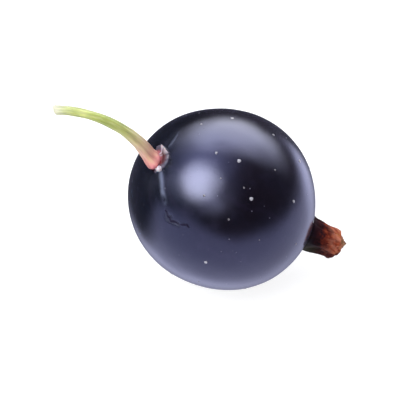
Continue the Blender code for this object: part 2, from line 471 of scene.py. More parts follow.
# %% The relief of the skin
# Turn and rise of each broad hollow, how far it reaches in degrees, and its height
HOLLOWS = (
    (90.0, 45.0, 29.0, -0.10 * MM),
    (-115.0, -42.0, 28.0, -0.14 * MM),
    (4.0, 2.0, 22.0, -0.09 * MM),
)
BROAD_BUMP = 3.6 * MM
FINE_BUMP = 1.2 * MM
UNEVEN = 0.022 * MM
VEINS = 10
VEIN_DEPTH = 0.008 * MM
PUCKERS = 11
PUCKER_DEPTH = 0.012 * MM
PUCKER_POLAR = 12.0
PUCKER_REACH = 5.0
SEAM_RIDGE = 0.026 * MM
SEAM_FURROW = 0.065 * MM
MARK_RIDGE = 0.2 * SEAM_RIDGE


def apart(toward, turn, rise):
    """Degrees between each direction and one given by its turn and rise."""
    return np.degrees(np.arccos(np.clip(toward @ way(turn, rise), -1.0, 1.0)))


def skin_relief(polar, turn, points):
    """Heights of everything small that the skin does, over the plain oval."""
    outward = skin_way(polar, turn)
    height = UNEVEN * rough(points, BROAD_BUMP, 11.0) + 0.45 * UNEVEN * rough(points, FINE_BUMP, 5.0)
    for hollow_turn, hollow_rise, reach, depth in HOLLOWS:
        height += depth * hump(apart(outward, hollow_turn, hollow_rise), 0.0, reach)
    height -= VEIN_DEPTH * (0.5 + 0.5 * np.cos(VEINS * turn)) ** 3 * np.sin(polar) ** 2
    drift = 0.35 * rough(points, 1.1 * MM, 21.0)
    puckered = PUCKER_DEPTH * np.cos(PUCKERS * turn + 5.0 * drift) * (0.6 + drift)
    height += puckered * hump(np.degrees(polar), PUCKER_POLAR, PUCKER_REACH)
    ridge, furrow, mark = seam_and_mark(polar, turn, points)
    return height + SEAM_RIDGE * ridge - SEAM_FURROW * furrow + MARK_RIDGE * mark


def finished_skin(polar, turn, lift=0.0):
    """Points of the finished skin, or lifted off it."""
    plain = skin(polar, turn)
    return plain + skin_way(polar, turn) * (skin_relief(polar, turn, plain) + lift)[..., None]


middle_row, middle_turns = rows_by_turns(np.array([np.pi / 2]), 36)
relief = skin_relief(middle_row, middle_turns, skin(middle_row, middle_turns)) / MM
print(f"relief round the fruit's middle, mm: {relief.min():.3f} to {relief.max():.3f}")

# %% [markdown]
# The skin is one sheet of rings from the stalk end to the flower end, set closer together near the two
# ends, where the small forms are. Where the fruit rests, its soft flesh presses flat. Each point's place
# says how near it is to a vein, to the seam and to the furrow, for the finish.

# %% Make the skin
SKIN_ROWS = 262
SKIN_COLUMNS = 364
VEIN_HALF_WIDTH = 0.20 * MM
PRESS_SOFTNESS = 0.02 * MM


def vein_share(polar, turn, points):
    """1 on the middle of a vein, 0 away from it. Veins wander a little and fade at the two ends."""
    wander = 0.10 * rough(points, 1.8 * MM, 3.0) + 0.04 * rough(points, 0.6 * MM, 9.0)
    step = math.tau / VEINS
    off = np.abs((turn + wander + step / 2) % step - step / 2) * np.sin(polar) * WIDTH / 2
    return (1.0 - smooth(off, 0.1 * VEIN_HALF_WIDTH, VEIN_HALF_WIDTH)) * smooth(np.sin(polar), 0.1, 0.5)


def press_flat(points):
    """Flattens what would lie below the table, with a soft edge."""
    pressed = points.copy()
    height = points[..., 2]
    pressed[..., 2] = (height + np.sqrt(height**2 + PRESS_SOFTNESS**2)) / 2
    return pressed


steps = np.linspace(0.0, np.pi, SKIN_ROWS + 2)
polar, turn = rows_by_turns(steps - 0.2 * np.sin(2.0 * steps), SKIN_COLUMNS)
turn = (turn + np.pi) % math.tau - np.pi
plain = skin(polar, turn)
shaped = press_flat(finished_skin(polar, turn))
ridge, furrow, mark = seam_and_mark(polar, turn, plain)
place = triple(vein_share(polar, turn, plain), ridge + 0.40 * mark, furrow)
berry_skin = sheet("berry_skin", shaped[1:-1], place[1:-1], tips=(shaped[0, 0], shaped[-1, 0]))
print("rings in the skin:", SKIN_ROWS)

# %% [markdown]
# Its finish. The skin is nearly black, with a purple cast, and shines like wax. What makes it read as
# blue is not its colour but the tint of its shine, which is set once on the shader. The ink under the
# shine is bluer towards the stalk's side, on the left, which is a painted cool reflection. A thin uneven
# bloom greys it here and there, the veins show as very faint paler lines, the seam and the mark carry a
# pale bluish line that is a painted highlight on their ridges, tiny specks of dust and wax sit on it, and
# a fine grain keeps the highlights from looking like glass.

# %% The skin's finish
skin_paint = Finish("blackcurrant_skin", IOR=1.52, Specular_Tint=(0.66, 0.68, 1.0, 1.0))
vein, seam, split_seam = skin_paint.place()
# Bluer towards the left, the stalk's side: a painted cool reflection.
cool_reflection_left = skin_paint.spot.split()[0].between(1.5 * MM, -4.5 * MM)
bloom = skin_paint.grain(2.6 * MM, detail=4.0, seed=1.0).between(0.36, 0.70)
mottle = skin_paint.grain(0.7 * MM, detail=4.0, seed=12.0)
dust = skin_paint.grain(0.16 * MM, detail=3.0, seed=7.0)
strewn = skin_paint.grain(1.1 * MM, seed=21.0).between(0.45, 0.60)
speck = skin_paint.dots(0.62 * MM, 0.09) * strewn
ink = coats(
    (0.0034, 0.0019, 0.0026),
    (bloom, (0.0036, 0.0030, 0.0058)),
    (cool_reflection_left * 0.8, (0.0006, 0.0020, 0.0042)),
    (vein * 0.22, (0.016, 0.011, 0.024)),
    (mottle.between(0.52, 0.72) * 0.35, (0.014, 0.012, 0.022)),
    # The pale bluish line along the seam and the mark is a painted highlight on their ridges.
    (seam * mottle.between(0.25, 0.50) * 0.85, (0.120, 0.135, 0.190)),
    (speck * 0.7, (0.130, 0.125, 0.150)),
)
shine = 0.13 + bloom * 0.04 + mottle * 0.05 + dust * 0.06 + speck * 0.3 + split_seam * 0.5
skin_grain = mottle * 0.7 + dust * 0.25 + speck * 0.5 - split_seam * 0.5
pores = skin_paint.bump(skin_grain, 0.012 * MM, strength=0.6)
skin_finish = skin_paint.feed(Base_Color=ink, Roughness=shine, Normal=pores)
dress(berry_skin, skin_finish, "berry")

# %% [markdown]
# Down in the furrow lies a thin dark ribbon, which is painted shade for the dark line of the furrow.
# Shine on the skin round it would drown a mere change of colour, so the ribbon is a sheet of its own,
# which lies along the bottom of the furrow, strays as the furrow does, and swells and narrows as a tear
# does.

# %% Make the dark ribbon of painted shade in the furrow
CRACK_POLARS = (33.0, 51.0)
CRACK_HALF_WIDTH = 0.125 * MM
CRACK_LIFT = 0.012 * MM
CRACK_THICK = 0.02 * MM
share, side = np.meshgrid(np.linspace(0.0, 1.0, 220), np.linspace(-1.0, 1.0, 9), indexing="ij")
polar = np.radians(CRACK_POLARS[0] + (CRACK_POLARS[1] - CRACK_POLARS[0]) * share)
on_line = line_turn(polar, SEAM_PATH)
on_path = skin(polar, on_line)
torn = 0.35 + 0.65 * smooth(rough(on_path, 0.30 * MM, 2.0), -0.35, 0.25)
half_width = CRACK_HALF_WIDTH * torn * np.sqrt(np.sin(np.pi * np.clip(share, 0.001, 0.999)))
turn = on_line + (side * half_width - furrow_wander(on_path)) / (np.sin(polar) * WIDTH / 2)
crack_points = finished_skin(polar, turn, CRACK_LIFT)
crack_place = triple(share, side, torn)
furrow_shade_ribbon = thicken(sheet("furrow_shade_ribbon", crack_points, crack_place, around=False), CRACK_THICK)
# This ribbon is painted shade: a near-black sheet with little shine, laid in the furrow.
crack_paint = Finish("furrow_shade_ribbon", IOR=1.4, Specular_IOR_Level=0.1)
torn_share = crack_paint.place()[2]
ribbon_grain = crack_paint.grain(0.12 * MM, detail=3.0, seed=3.0)
crack_finish = crack_paint.feed(
    Base_Color=(ribbon_grain * torn_share).blend((0.016, 0.013, 0.030), (0.005, 0.004, 0.011)),
    Roughness=0.5 + 0.3 * ribbon_grain,
    Normal=crack_paint.bump(ribbon_grain, 0.008 * MM, strength=0.5),
)
dress(furrow_shade_ribbon, crack_finish, "berry")

# %% [markdown]
# Blackcurrant skin carries small pale resin glands. On a dark fruit they are the only thing that shows
# its scale, so they are modelled, each as a low dome sunk into the skin. The ones that can be seen in the
# photograph's view are listed one by one, by their two angles, and the rest are scattered with a fixed
# seed.

# %% The resin glands
# Polar angle, turn and diameter in mm of each gland that shows, and how pale it has dried, from 0 to 1
SEEN_GLANDS = (
    (57.9, 104.8, 0.22, 0.75),
    (36.4, 106.9, 0.17, 0.45),
    (86.2, 92.4, 0.18, 0.55),
    (42.8, 66.3, 0.18, 0.50),
    (58.7, 62.4, 0.25, 0.85),
    (111.5, 83.6, 0.22, 0.90),
    (67.1, 45.3, 0.13, 0.25),
    (74.8, 40.5, 0.24, 0.90),
    (109.9, 51.6, 0.21, 0.80),
    (67.5, 22.0, 0.14, 0.30),
    (75.6, -12.1, 0.22, 0.95),
    (45.2, 26.2, 0.15, 0.20),
    (130.7, 23.6, 0.15, 0.40),
    (86.7, 64.7, 0.12, 0.30),
    (50.0, 45.0, 0.10, 0.25),
    (95.0, 20.0, 0.10, 0.20),
    (88.0, -35.0, 0.12, 0.35),
)
GLANDS = 46
GLAND_GAP = 1.05 * MM
GLAND_RISE = 0.30
GLAND_LIFT = 0.002 * MM
GLAND_RINGS = 7
GLAND_SIDES = 20
TOWARD_VIEW = way(-90.0, 45.0)


def gland_places():
    """The seen glands, then random ones that keep clear of each other and of the view's side."""
    chance = np.random.default_rng(14)
    found = [(math.radians(a), math.radians(b), size * MM, pale) for a, b, size, pale in SEEN_GLANDS]
    sites = [skin(a, b) for a, b, size, pale in found]
    while len(found) < GLANDS:
        polar_angle = math.acos(chance.uniform(-0.90, 0.95))
        turn_angle = chance.uniform(-math.pi, math.pi)
        size, pale = chance.uniform(0.10, 0.24) * MM, chance.uniform(0.2, 0.95)
        site = skin(polar_angle, turn_angle)
        clear = all(np.linalg.norm(site - other) > GLAND_GAP for other in sites)
        hidden = skin_way(polar_angle, turn_angle) @ TOWARD_VIEW < 0.12
        if clear and hidden and site[2] > 0.8 * MM:
            found.append((polar_angle, turn_angle, size, pale))
            sites.append(site)
    return found


def gland(polar_angle, turn_angle, size, pale, chance):
    """One low uneven dome, sunk into the skin."""
    lean, turn = rows_by_turns(np.linspace(0.15, 1.75, GLAND_RINGS), GLAND_SIDES)
    lopsided = 1.0 + 0.12 * np.cos(turn + chance.uniform(0, 6))
    lopsided = lopsided + 0.08 * np.cos(3 * turn + chance.uniform(0, 6))
    reach = size / 2 * np.sin(lean) * lopsided
    outward = skin_way(polar_angle, turn_angle)
    side = unit(np.cross(outward, STALK_FRAME[0]))
    spread = ring_way(turn, side, np.cross(outward, side))
    root = finished_skin(polar_angle, turn_angle, GLAND_LIFT)
    height = size / 2 * GLAND_RISE * np.cos(lean)
    grid = root + spread * reach[..., None] + outward * height[..., None]
    place = triple(pale, lean, 0.0)
    return sheet("gland", grid, place, tips=(root + outward * size / 2 * GLAND_RISE, None))


gland_chance = np.random.default_rng(5)
resin_glands = join("resin_glands", [gland(*spot, gland_chance) for spot in gland_places()])
gland_paint = Finish("dry_resin", Roughness=0.36, IOR=1.5)
paleness, lean = gland_paint.place()[:2]
crust = gland_paint.grain(0.09 * MM, detail=2.0, seed=2.0)
edge = 1.0 - lean.between(0.7, 1.5)
dried = paleness * (0.55 + 0.45 * edge) * (0.75 + 0.5 * crust)
gland_finish = gland_paint.feed(
    Base_Color=dried.blend((0.016, 0.009, 0.010), (0.36, 0.35, 0.37)),
    Normal=gland_paint.bump(crust, 0.01 * MM, strength=0.5),
)
dress(resin_glands, gland_finish, "berry")

# %% [markdown]
# The stalk. It leaves the pit square to the skin, bends up and over, and ends where it was nipped off.
# Its heading changes evenly along its length, so its line is found by adding up short steps, each in the
# heading at that point. A plain bevelled curve would give a round wire. The real one is faintly ribbed
# and swollen at its foot, so rings of points are laid along the line instead.

# %% The stalk's line
STALK_LENGTH = 8.1 * MM
STALK_TURNS = (177.0, 167.0)
STALK_RISES = (74.0, -14.0)
STALK_STRAIGHT_FOOT = 1.2 * MM
# Share of the length from the foot, and the diameter there
STALK_WIDTHS = (
    (0.00, 0.84 * MM),
    (0.045, 1.00 * MM),
    (0.12, 0.92 * MM),
    (0.25, 0.78 * MM),
    (0.45, 0.65 * MM),
    (0.70, 0.57 * MM),
    (0.90, 0.57 * MM),
    (1.00, 0.64 * MM),
)
HEEL = 0.36 * MM
GAP = 0.06 * MM
STALK_ROWS = 150


def stalk_heading(share):
    """Unit vector along the stalk at a share of its length."""
    turned = STALK_TURNS[0] + (STALK_TURNS[1] - STALK_TURNS[0]) * share
    risen = STALK_RISES[0] + (STALK_RISES[1] - STALK_RISES[0]) * share
    freed = smooth(share * STALK_LENGTH / STALK_STRAIGHT_FOOT)[..., None]
    return unit(STALK_WAY * (1.0 - freed) + way(turned, risen) * freed)


stalk_shares = np.linspace(0.0, 1.0, STALK_ROWS)
halfway = (stalk_shares[:-1] + stalk_shares[1:]) / 2
stalk_steps = stalk_heading(halfway) * (STALK_LENGTH / (STALK_ROWS - 1))
stalk_line = skin(0.0, 0.0, GAP) + add_up(stalk_steps)
print("tip of the stalk, mm:", (stalk_line[-1] / MM).round(2))

# %% [markdown]
# Around the line go rings with six low ribs that twist slightly, some random thickening, and a heel of
# flesh at the front of the foot. The cut slants: near the tip each point slides along the stalk until it
# lies on the cut's plane. The cut face sinks inside the rim and rises again over the pith, as a nipped
# green stem dries.

# %% Make the stalk
STALK_COLUMNS = 72
STALK_RIBS = 6
RIB_DEPTH = 0.05
RIB_TWIST = 2.2
HEEL_MIDDLE = 0.22 * MM
HEEL_REACH = 0.42 * MM
STALK_CUT_TILT = math.radians(-20.0)
# Shares of the radius, and how far the cut face sinks there
CUT_SHARES = np.array([0.96, 0.86, 0.70, 0.50, 0.32, 0.14])
CUT_SINKS = np.array([-0.012, 0.012, 0.050, 0.060, 0.030, 0.018]) * MM
FRAY = 0.012 * MM


def plain_radius(share):
    """The stalk's radius at shares of its length, with soft steps between its given widths."""
    shares, widths = np.array(STALK_WIDTHS).T
    at = np.searchsorted(shares, share, side="right").clip(1, len(shares) - 1)
    blend = smooth((share - shares[at - 1]) / (shares[at] - shares[at - 1]))
    return (widths[at - 1] + (widths[at] - widths[at - 1]) * blend) / 2


def cut_slanting(tube, tip_way):
    """The rows of the tube up to its slanting cut, and the direction that the cut faces."""
    cut_way = unit(rotate(tip_way, unit(np.cross(tip_way, UP)), STALK_CUT_TILT))
    cut_point = stalk_line[-1] - tip_way * STALK_WIDTHS[-1][1] / 4
    beyond = (tube - cut_point) @ cut_way / (tip_way @ cut_way)
    tube = tube - tip_way * np.maximum(beyond, 0.0)[..., None]
    return tube[: int(np.argmax(beyond.min(axis=1) > 0.0)) + 1], cut_way


def stalk_grid():
    """Rings of points along the stalk, then the rings of its cut face, and their places."""
    around = np.arange(STALK_COLUMNS)[None] * math.tau / STALK_COLUMNS
    heading = stalk_heading(stalk_shares)
    circle = circles(heading, around)
    radius = plain_radius(stalk_shares)[:, None]
    plain_tube = stalk_line[:, None] + circle * radius[..., None]
    ribs = np.cos(STALK_RIBS * around + RIB_TWIST * stalk_shares[:, None])
    ribbed = RIB_DEPTH * ribs * smooth(stalk_shares, 0.02, 0.2)[:, None]
    lumps = 0.06 * rough(plain_tube, 0.8 * MM, 3.0) + 0.03 * rough(plain_tube, 0.25 * MM, 8.0)
    heel = np.clip(circle @ FRONT, 0.0, 1.0) ** 1.5
    heel = heel * hump(stalk_shares * STALK_LENGTH, HEEL_MIDDLE, HEEL_REACH)[:, None]
    radius = radius * (1.0 + ribbed + lumps) + HEEL * heel
    tube, cut_way = cut_slanting(stalk_line[:, None] + circle * radius[..., None], heading[-1])

    rim = tube[-1]
    heart = rim.mean(axis=0)
    frayed = FRAY * rough(rim, 0.12 * MM, 4.0)[:, None] * cut_way
    cut = zip(CUT_SHARES, CUT_SINKS)
    face = [heart + (rim - heart) * share - cut_way * sink + frayed * share for share, sink in cut]
    tube[-1] += frayed
    along = np.concatenate([stalk_shares[: len(tube)], 2.0 - CUT_SHARES])
    crest = np.concatenate([ribs[: len(tube)], np.zeros((len(face), STALK_COLUMNS))])
    place = triple(along[:, None], around / math.tau, crest)
    return np.concatenate([tube, np.stack(face)]), place, heart - cut_way * 0.01 * MM


stalk_points, stalk_place, stalk_heart = stalk_grid()
stalk_stem = sheet("stalk_stem", stalk_points, stalk_place, tips=(stalk_line[0], stalk_heart))
print("rings in the stalk and its cut:", len(stalk_points))

# %% [markdown]
# Its finish runs along its length: wine red at the swollen foot, then buff, then a fresh yellow green,
# paling towards the cut. The change follows the place along the stalk, nudged by noise so that no ring
# shows. Fine streaks follow the ribs, the furrows between the ribs are darkened as painted shade, and a
# little light goes through the thin green flesh.

# %% The stalk's finish
# Share of the stalk's length, and the colour there
STALK_COLOURS = (
    (0.00, (0.42, 0.090, 0.130)),
    (0.035, (0.60, 0.200, 0.210)),
    (0.10, (0.62, 0.300, 0.220)),
    (0.19, (0.58, 0.380, 0.250)),
    (0.30, (0.50, 0.420, 0.210)),
    (0.42, (0.38, 0.390, 0.120)),
    (0.58, (0.30, 0.345, 0.070)),
    (0.68, (0.36, 0.400, 0.090)),
    (0.75, (0.52, 0.550, 0.180)),
    (0.82, (0.38, 0.420, 0.110)),
    (0.91, (0.46, 0.480, 0.220)),
    (0.96, (0.60, 0.590, 0.420)),
    (1.00, (0.60, 0.580, 0.440)),
)
stalk_paint = Finish(
    "green_stalk",
    IOR=1.42,
    Subsurface_Weight=0.2,
    Subsurface_Radius=(0.6, 0.8, 0.25),
    Subsurface_Scale=0.25 * MM,
)
along, around, rib = stalk_paint.place()
spin = around * math.tau
lengthwise = stalk_paint.round_vector(spin, 0.35 * MM, along * 1.3 * MM)
streak = stalk_paint.grain(0.16 * MM, detail=3.0, seed=4.0, spot=lengthwise)
blush = stalk_paint.grain(0.45 * MM, detail=2.0, seed=9.0)
nudged = along + (blush - 0.5) * 0.06
furrowed = 1.0 - rib.between(-1.0, 0.3)
streak_and_furrow_shade = along.between(0.08, 0.40).blend((0.26, 0.075, 0.070), (0.12, 0.150, 0.040))
on_cut = along - 1.0
green = coats(
    stalk_paint.ramp(STALK_COLOURS, nudged),
    # Darker between the ribs: painted shade; the darker streaks are the stalk's own colour.
    (0.25 * furrowed + 0.50 * streak.between(0.50, 0.72), streak_and_furrow_shade),
    (0.4 * streak.between(0.50, 0.28), (0.66, 0.64, 0.32)),
    (on_cut.between(0.0, 0.03), (0.50, 0.50, 0.32)),
    (on_cut.between(0.28, 0.52), (0.58, 0.56, 0.44)),
)
matt = 0.40 + 0.2 * streak
skin_lines = stalk_paint.bump(streak + 0.4 * rib, 0.012 * MM, strength=0.6)
stalk_finish = stalk_paint.feed(Base_Color=green, Roughness=matt, Normal=skin_lines)
dress(stalk_stem, stalk_finish, "stalk")

# %% [markdown]
# The collar. Where the stalk joins, the skin of the fruit has torn into a shallow cup of flesh round the
# swollen foot, open on one side, whose rim stands up in a few thin flaps. A bare ring would look like wire,
# so the sheet starts against the foot, dips to a groove, rises to the ragged rim, and comes down again on
# the far side as a strip of dark skin.

# %% Make the torn collar
COLLAR_INNER = 0.36 * MM
COLLAR_REACH = 0.92 * MM
COLLAR_BULGE = 0.36 * MM
COLLAR_HEIGHT = 0.07 * MM
COLLAR_THICK = 0.04 * MM
COLLAR_SPAN = (-14.0, 156.0)
# Turn about the stalk, half width and height of each raised flap of the rim
COLLAR_FLAPS = (
    (2.0, 12.0, 0.10 * MM),
    (56.0, 8.0, 0.06 * MM),
    (80.0, 9.0, 0.28 * MM),
    (104.0, 9.0, 0.26 * MM),
)
end_share, rise_share = np.meshgrid(np.linspace(0.0, 1.0, 240), np.linspace(0.0, 1.3, 52))
collar_turn = COLLAR_SPAN[0] + (COLLAR_SPAN[1] - COLLAR_SPAN[0]) * end_share
collar_height = COLLAR_HEIGHT * np.ones_like(end_share)
for middle, half_width, height in COLLAR_FLAPS:
    collar_height = collar_height + height * hump(collar_turn, middle, half_width)
rim_places = triple(np.radians(collar_turn), 0.0, 0.0)
ragged = 0.40 * rough(rim_places, 0.13, 1.0) + 0.30 * rough(rim_places, 0.05, 6.0)
fading = np.maximum(0.0, 1.0 - np.abs(2 * end_share - 1) ** 6)
collar_height = collar_height * (1.0 + ragged) * fading
wavy = rough(2.0 * triple(np.radians(collar_turn), rise_share, 0.0), 0.40, 9.0)
rim_reach = COLLAR_REACH + COLLAR_BULGE * hump(collar_turn, 46.0, 40.0) + 0.10 * MM * ragged
outer_side = smooth(rise_share, 1.0, 1.3)
collar_reach = COLLAR_INNER + (rim_reach - COLLAR_INNER) * np.minimum(rise_share, 1.0)
collar_reach = collar_reach + 0.07 * MM * outer_side
groove = hump(rise_share, 0.52, 0.26)
standing = collar_height * smooth(rise_share, 0.50, 1.0) + 0.14 * MM * (1.0 - smooth(rise_share, 0.0, 0.45))
standing = 0.03 * MM + standing * fading + 0.025 * MM * wavy * (1.0 - groove)
standing = standing * (1.0 - outer_side) - 0.04 * MM * outer_side
collar_points = skin(collar_reach / (WIDTH / 2), np.radians(collar_turn), standing)
hollow = groove * span(collar_turn, 14.0, 40.0, 84.0, 104.0)
collar_place = triple(rise_share, collar_height / (0.3 * MM), hollow)
torn_collar = thicken(sheet("torn_collar", collar_points, collar_place, around=False), COLLAR_THICK)
print("highest flap, mm:", round(collar_height.max() / MM, 2))

# %% [markdown]
# Its finish. The flesh is wine red by the stalk, darkened in the groove under the rim as painted
# shade, and pale and dry at the tips of the flaps, and the outer side of the rim is still dark skin.
# The place gives all three: how far out a point is, how high the rim stands there, and how deep in the
# groove it lies.

# %% The collar's finish
torn_skin = Finish(
    "torn_skin",
    IOR=1.42,
    Specular_IOR_Level=0.3,
    Subsurface_Weight=0.2,
    Subsurface_Scale=0.15 * MM,
)
up_collar, flap, groove_shade = torn_skin.place()
cells = torn_skin.grain(0.14 * MM, detail=3.0, seed=5.0)
outward_share = (up_collar + (cells - 0.5) * 0.5).between(0.20, 0.75)
dry_share = (flap + up_collar * 0.4 + (cells - 0.5) * 0.4).between(0.65, 1.3)
flesh = coats(
    (0.42, 0.120, 0.125),
    (outward_share, (0.085, 0.078, 0.105)),
    (dry_share, (0.50, 0.45, 0.47)),
    # Darker in the groove under the rim: painted shade.
    (groove_shade * 0.95, (0.050, 0.010, 0.010)),
    (up_collar.between(1.02, 1.12), (0.016, 0.013, 0.026)),
)
collar_finish = torn_skin.feed(
    Base_Color=flesh,
    Roughness=0.40 + 0.25 * cells,
    Normal=torn_skin.bump(cells, 0.02 * MM, strength=0.6),
)
dress(torn_collar, collar_finish, "joint_collar")

# %% [markdown]
# At the lower end of the rim a bead of torn flesh has dried, bright and rounded. It is a lumpy ball, half
# sunk into the skin, made as the glands are.

# %% Make the bead of flesh
BEAD_TURN = math.radians(10.0)
BEAD_REACH = 1.00 * MM
BEAD_SIZE = 0.40 * MM
BEAD_LIFT = 0.10 * MM
lean, turn = rows_by_turns(np.linspace(0.12, 2.6, 22), 36)
bead_polar = BEAD_REACH / (WIDTH / 2)
bead_way = skin_way(bead_polar, BEAD_TURN)
bead_side = unit(np.cross(bead_way, UP))
bead_round = ring_way(turn, bead_side, np.cross(bead_way, bead_side)) * np.sin(lean)[..., None]
bead_round = bead_round + np.cos(lean)[..., None] * bead_way
bead_root = skin(bead_polar, BEAD_TURN, BEAD_LIFT)
lumpy = BEAD_SIZE / 2 * (1.0 + 0.28 * rough(bead_round, 0.7, 3.0))
bead_place = triple(0.95, 1.2, 0.0 * lean)
bead_points = bead_root + bead_round * lumpy[..., None]
bead_top = bead_root + bead_way * lumpy[0, 0]
flesh_bead = sheet("flesh_bead", bead_points, bead_place, tips=(bead_top, None))
dress(flesh_bead, collar_finish, "joint_collar")

# %% [markdown]
# The dried flower. A blackcurrant keeps its withered flower: a papery tube that flares where it grips the
# skin, with five shrivelled sepals that have closed over the mouth, and a few dry threads inside. Its
# axis leaves the fruit square to the skin and nods towards the table, so a point of it is given by a
# height up that axis, a turn about it and a radius.

# %% A point of the flower
FLOWER_LENGTH = 2.9 * MM
FLOWER_TIP_WAY = way(-3.0, -34.0)
FLOWER_NECK_RADIUS = 1.04 * MM
SKIRT_RADIUS = 1.50 * MM
NOD_AXIS = unit(np.cross(FLOWER_WAY, FLOWER_TIP_WAY))
FLOWER_SIDES = rotate(STALK_FRAME[:2], BEND_AXIS, np.full(2, BEND_ANGLE))


def flower(height, turn, radius):
    """Points about the flower's nodding axis."""
    height, turn, radius = np.broadcast_arrays(height, turn, radius)
    share = (smooth(height / FLOWER_LENGTH) / 2)[..., None]
    axis = unit(FLOWER_WAY * (1.0 - share) + FLOWER_TIP_WAY * share)
    nod = np.arccos(np.clip(axis @ FLOWER_WAY, -1.0, 1.0))
    ring = rotate(ring_way(turn, *FLOWER_SIDES), NOD_AXIS, nod)
    return skin(np.pi, 0.0) + axis * height[..., None] + ring * radius[..., None]


print("tip of the flower, mm:", (flower(FLOWER_LENGTH, 0.0, 0.0) / MM).round(2))

# %% [markdown]
# The tube is one crumpled sheet. Low down it follows the skin, so that its ragged skirt hugs the fruit,
# and higher up it follows the axis. Its folds run lengthwise, because paper-thin tissue that shrinks
# round a tube can only pleat that way.

# %% Make the flower's tube
TUBE_TOP = 1.95 * MM
TUBE_THICK = 0.06 * MM
FOLD_DEPTH = 0.15 * MM
PLEAT_DEPTH = 0.055 * MM
SKIRT_REACH = 0.18 * MM


def folds(turn, height):
    """Lengthwise folds, sharp at their crests: broad ones, then fine pleats, each from about -1 to 1."""
    ring = triple(np.cos(turn), np.sin(turn), height / MM)
    broad = rough(ring * np.array([1.5, 1.5, 0.45]), 1.0, 2.0)
    return 1.0 - 3.2 * np.abs(broad), rough(ring * np.array([5.5, 5.5, 0.9]), 1.0, 5.0)


rise, turn = rows_by_turns(np.linspace(0.0, 1.0, 70), 260)
tube_height = TUBE_TOP * rise**1.4
broad, fine = folds(turn, tube_height)
ragged = 1.0 + 0.05 * np.sin(7.0 * turn) + 0.08 * fine
flared = (0.84 * SKIRT_RADIUS * ragged - FLOWER_NECK_RADIUS) * np.exp(-tube_height / SKIRT_REACH)
folded = (FOLD_DEPTH * (broad - 0.3) + PLEAT_DEPTH * fine) * smooth(tube_height, 0.0, 0.6 * MM)
tube_radius = (FLOWER_NECK_RADIUS - 0.02 * MM) * (1.0 - 0.12 * rise) + flared + folded
tucked = 0.03 * MM - 0.09 * MM * hump(tube_height, 0.0, 0.03 * MM)
on_skin = skin(np.pi - tube_radius / (LENGTH / 2), turn, tucked + tube_height)
off_skin = flower(0.05 * MM + tube_height, turn, tube_radius)
leaving = smooth(tube_height, 0.1 * MM, 0.8 * MM)[..., None]
tube_points = on_skin * (1.0 - leaving) + off_skin * leaving
tube_place = triple(tube_height / FLOWER_LENGTH, turn, (broad + 0.5 * fine) / 2 + 0.4)
flower_tube = thicken(sheet("flower_tube", tube_points, tube_place), TUBE_THICK, -1.0)
print("tube, mm across at its skirt:", (2 * tube_radius.max() / MM).round(2))

# %% [markdown]
# Each sepal is a tapering sheet that starts on the tube and follows a line of its own: it leans, then its
# tip curls over. Its line is found as the stalk's was, by adding up short steps. Crumpling moves every
# point a little, the edges roll and the tip is torn, which is what makes dead tissue look dead and not
# like a new petal.

# %% Make the sepals
LEAF_ROWS = 46
LEAF_COLUMNS = 36
LEAST_RADIUS = 0.45 * MM
EDGE_ROLL = 0.14 * MM
MIDRIB = 0.05 * MM
TORN = 0.26 * MM
SEPAL_FOOT = 1.02 * MM
SEPAL_FOOT_RADIUS = 0.90 * MM
SEPAL_CRUMPLE = 0.18 * MM
SEPAL_THICK = 0.07 * MM
# Turn, length, lean at the foot, curl of the tip (both in degrees, outwards is positive), half width
SEPALS = (
    (20.0, 1.74 * MM, -7.0, -70.0, 0.66 * MM),
    (92.0, 1.70 * MM, -14.0, -22.0, 0.56 * MM),
    (158.0, 1.60 * MM, -15.0, -76.0, 0.66 * MM),
    (236.0, 1.56 * MM, -2.0, 26.0, 0.56 * MM),
    (308.0, 1.76 * MM, -9.0, -48.0, 0.62 * MM),
)


def leaf_line(length, lean, curl):
    """Distance out and height of the middle line of a sepal or petal from its foot."""
    tilt = np.radians(lean + curl * smooth(np.linspace(0.0, 1.0, LEAF_ROWS), 0.45, 1.0))[1:]
    steps = np.stack([np.sin(tilt), np.cos(tilt)], axis=-1) * length / (LEAF_ROWS - 1)
    return add_up(steps).T[..., None]


def withered_leaf(name, seed, middle, length, lean, curl, half_width, foot_height, foot_radius, crumple):
    """One shrivelled sepal or petal."""
    rows, columns = np.linspace(0.0, 1.0, LEAF_ROWS), np.linspace(-1.0, 1.0, LEAF_COLUMNS)
    share, side = np.meshgrid(rows, columns, indexing="ij")
    line_out, line_up = leaf_line(length, lean, curl)
    line_radius, line_height = foot_radius + line_out, foot_height + line_up
    spot = triple(side * 1.3, share * 1.6, seed)
    buckle = 1.0 - 2.8 * np.abs(rough(spot, 0.55, seed))
    crease = rough(spot * np.array([2.2, 0.9, 1.0]), 0.30, seed)
    torn = rough(triple(side * 4.0, 0.0, seed), 0.45, 2.0)
    taper = (1.0 - 0.30 * share) * np.sqrt(np.maximum(0.06, 1.0 - share**6))
    width = half_width * taper * (1.0 + 0.15 * crease)
    lift = MIDRIB * (1.0 - np.abs(side)) ** 2 - EDGE_ROLL * side**2 * share
    lift = lift + crumple * (buckle - 0.3) + 0.45 * crumple * crease
    radius = line_radius + lift * smooth(share, -0.1, 0.3)
    height = line_height + crumple * 0.7 * crease * share + TORN * torn * smooth(share, 0.5, 1.0)
    turn = math.radians(middle) + side * width / np.maximum(line_radius, LEAST_RADIUS)
    place = triple(height / FLOWER_LENGTH, turn, (buckle + 0.6 * crease) / 2 + 0.4)
    return sheet(name, flower(height, turn, radius), place, around=False)


def withered_leaves(name, shapes, first_seed, seed_step, foot, thickness):
    """Several sepals or petals made one piece."""
    parts = [
        withered_leaf(f"{name}_{i}", first_seed + seed_step * i, *shape, *foot)
        for i, shape in enumerate(shapes)
    ]
    return thicken(join(name, parts), thickness)


